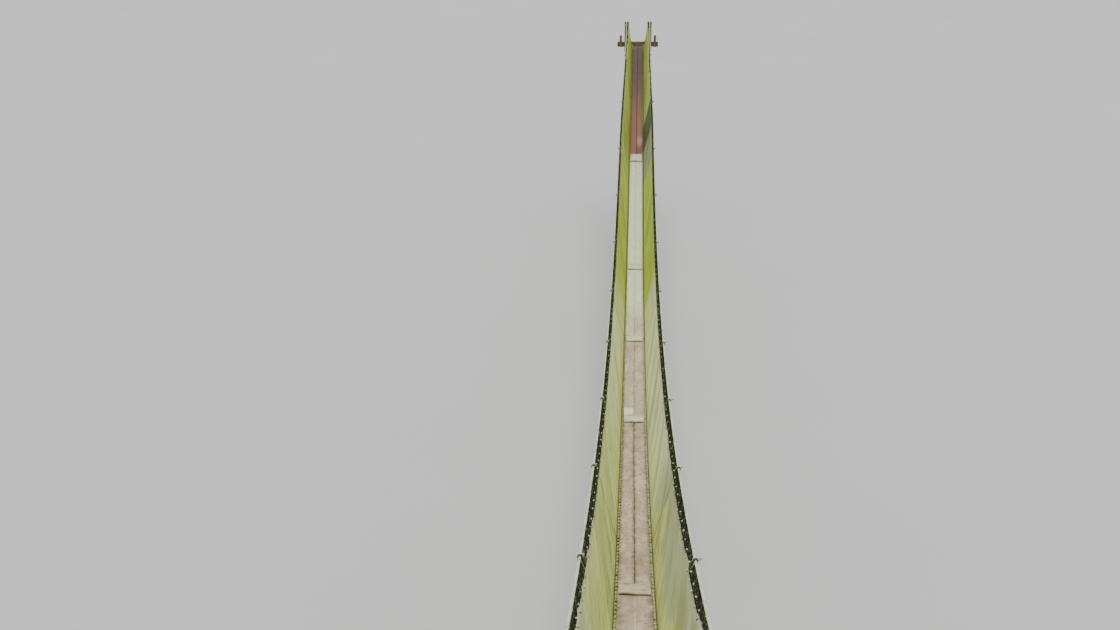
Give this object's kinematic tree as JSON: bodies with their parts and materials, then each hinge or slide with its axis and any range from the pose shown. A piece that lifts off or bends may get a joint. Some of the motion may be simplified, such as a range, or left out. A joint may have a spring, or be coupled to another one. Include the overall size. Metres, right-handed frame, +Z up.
{
  "type": "rope suspension footbridge",
  "caption": "Narrow rope suspension footbridge: a hanging plank deck with handrail ropes, net side walls, cross-beams in rope slings, and timber posts, sills and anchors on both banks.",
  "frame": {"origin": "middle of the flat underside of the near sill, which is the ground level of both banks", "axes": "+Y along the bridge from the near bank to the far bank, +X to the right of someone walking that way, +Z up"},
  "size_m": [1.5, 38.06, 4.9944],
  "materials": {
    "planks": "weathered grey sawn hardwood, worn and damp",
    "timber": "rough squared hardwood, dark and damp, unpainted",
    "cream_rope": "three-strand laid rope, pale cream with a green cast, matt",
    "green_rope": "three-strand laid rope, dark green, matt",
    "dark_netting": "coarse knotted twine netting, dark green to black, bunched up",
    "netting": "fine knotted netting, yellow-green with grey patches, matt"
  },
  "bodies": {
    "root": {"deck_run_1": "planks", "deck_run_2": "planks", "deck_run_3": "planks", "deck_run_4": "planks", "deck_run_5": "planks", "deck_run_6": "planks", "transom_01": "timber", "transom_02": "timber", "transom_03": "timber", "transom_04": "timber", "transom_05": "timber", "transom_06": "timber", "transom_07": "timber", "transom_08": "timber", "transom_09": "timber", "transom_10": "timber", "transom_11": "timber", "sling_01": "green_rope", "sling_02": "green_rope", "sling_03": "green_rope", "sling_04": "green_rope", "sling_05": "green_rope", "sling_06": "green_rope", "sling_07": "green_rope", "sling_08": "green_rope", "sling_09": "green_rope", "sling_10": "green_rope", "sling_11": "green_rope", "handrail_rope_left": "cream_rope", "foot_rope_left": "cream_rope", "net_rope_left": "netting", "upper_net_left": "dark_netting", "net_left_1": "netting", "net_left_2": "netting", "net_left_3": "netting", "net_left_4": "netting", "handrail_rope_right": "cream_rope", "foot_rope_right": "cream_rope", "net_rope_right": "netting", "upper_net_right": "dark_netting", "net_right_1": "netting", "net_right_2": "netting", "net_right_3": "netting", "net_right_4": "netting", "near_sill": "timber", "near_post_left": "timber", "near_post_right": "timber", "near_anchor": "timber", "far_sill": "timber", "far_post_left": "timber", "far_post_right": "timber", "far_anchor": "timber"}
  },
  "joints": []
}
